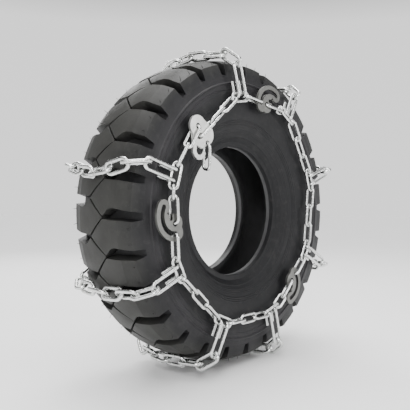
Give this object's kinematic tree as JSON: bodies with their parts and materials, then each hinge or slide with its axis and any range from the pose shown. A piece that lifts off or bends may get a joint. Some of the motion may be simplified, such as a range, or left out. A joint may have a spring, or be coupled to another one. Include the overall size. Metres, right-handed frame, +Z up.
{
  "type": "tire snow chain set",
  "caption": "Ladder-pattern snow chain with cams, end hooks and a closure plate, fitted round a small industrial tire with a lugged tread.",
  "frame": {"origin": "centre of the wheel, on its axis and midway between the two beads", "axes": "Y along the wheel axis with the closing side (cams and closure plate) at -Y, +Z up, +X to the right as seen from the closing side"},
  "size_m": [0.6169, 0.2202, 0.6174],
  "materials": {
    "rubber": "satin black rubber, dusty",
    "side_chain": "zinc plated",
    "cross_chain": "zinc plated, case hardened",
    "hook": "zinc plated",
    "plate": "zinc plated plate, punched"
  },
  "bodies": {
    "chain_net": {"outer_chain_a": "side_chain", "outer_chain_b_c": "side_chain", "outer_chain_c_d": "side_chain", "outer_chain_d": "side_chain", "outer_chain_e_f": "side_chain", "outer_chain_f_g": "side_chain", "outer_chain_g": "side_chain", "outer_chain_h": "side_chain", "outer_chain_eye": "side_chain", "cam_anchor_link_1": "side_chain", "cam_anchor_link_2": "side_chain", "cam_anchor_link_3": "side_chain", "inner_chain_a_c": "side_chain", "inner_chain_c_e": "side_chain", "inner_chain_e_g": "side_chain", "inner_chain_g_a": "side_chain", "inner_closing_hook": "hook", "cross_chain_a": "cross_chain", "cross_chain_b": "cross_chain", "cross_chain_c": "cross_chain", "cross_chain_d": "cross_chain", "cross_chain_e": "cross_chain", "cross_chain_f": "cross_chain", "cross_chain_g": "cross_chain", "cross_chain_h": "cross_chain", "outer_hook_a": "hook", "outer_hook_b": "hook", "outer_hook_c": "hook", "outer_hook_d": "hook", "outer_hook_e": "hook", "outer_hook_f": "hook", "outer_hook_g": "hook", "outer_hook_h": "hook", "inner_hook_a": "hook", "inner_hook_b": "hook", "inner_hook_c": "hook", "inner_hook_d": "hook", "inner_hook_e": "hook", "inner_hook_f": "hook", "inner_hook_g": "hook", "inner_hook_h": "hook"},
    "tire": {"tire_tread": "rubber", "tire_sidewall_outer": "rubber", "tire_sidewall_inner": "rubber"},
    "cam_1": {"cam_1": "plate"},
    "slot_link_1": {"cam_slot_link_1": "side_chain"},
    "cam_2": {"cam_2": "plate"},
    "slot_link_2": {"cam_slot_link_2": "side_chain"},
    "cam_3": {"cam_3": "plate"},
    "slot_link_3": {"cam_slot_link_3": "side_chain"},
    "closure_plate": {"closure_plate": "plate"},
    "tail_link": {"tail_link": "side_chain"}
  },
  "joints": [
    {"name": "tire_creep", "type": "hinge", "parent": "chain_net", "child": "tire", "pos_m": [0, 0, 0], "axis": [0, -1, 0], "continuous": true},
    {"name": "cam_1_turn", "type": "hinge", "parent": "chain_net", "child": "cam_1", "pos_m": [-0.20826, -0.0975, -0.01852], "axis": [0, -1, 0], "range_deg": [0, 95]},
    {"name": "slot_link_1_swing", "type": "hinge", "parent": "chain_net", "child": "slot_link_1", "pos_m": [-0.2044, -0.0975, -0.0822], "axis": [0, -1, 0], "range_deg": [0, 35]},
    {"name": "cam_2_turn", "type": "hinge", "parent": "chain_net", "child": "cam_2", "pos_m": [0.04083, -0.0975, 0.21116], "axis": [0, -1, 0], "range_deg": [0, 95]},
    {"name": "slot_link_2_swing", "type": "hinge", "parent": "chain_net", "child": "slot_link_2", "pos_m": [-0.02269, -0.0975, 0.21723], "axis": [0, -1, 0], "range_deg": [0, 35]},
    {"name": "cam_3_turn", "type": "hinge", "parent": "chain_net", "child": "cam_3", "pos_m": [0.13222, -0.0975, -0.14632], "axis": [0, -1, 0], "range_deg": [0, 95]},
    {"name": "slot_link_3_swing", "type": "hinge", "parent": "chain_net", "child": "slot_link_3", "pos_m": [0.17749, -0.0975, -0.10136], "axis": [0, -1, 0], "range_deg": [0, 35]},
    {"name": "closure_plate_swing", "type": "hinge", "parent": "chain_net", "child": "closure_plate", "pos_m": [-0.15453, -0.0975, 0.14861], "axis": [0, -1, 0], "range_deg": [-7, 7]},
    {"name": "tail_link_swing", "type": "hinge", "parent": "closure_plate", "child": "tail_link", "pos_m": [-0.13053, -0.0975, 0.12061], "axis": [0, -1, 0], "range_deg": [-25, 60]}
  ],
  "couplings": [
    {"joint": "slot_link_1_swing", "follows": "cam_1_turn", "ratio": 0.36842},
    {"joint": "slot_link_2_swing", "follows": "cam_2_turn", "ratio": 0.36842},
    {"joint": "slot_link_3_swing", "follows": "cam_3_turn", "ratio": 0.36842}
  ]
}
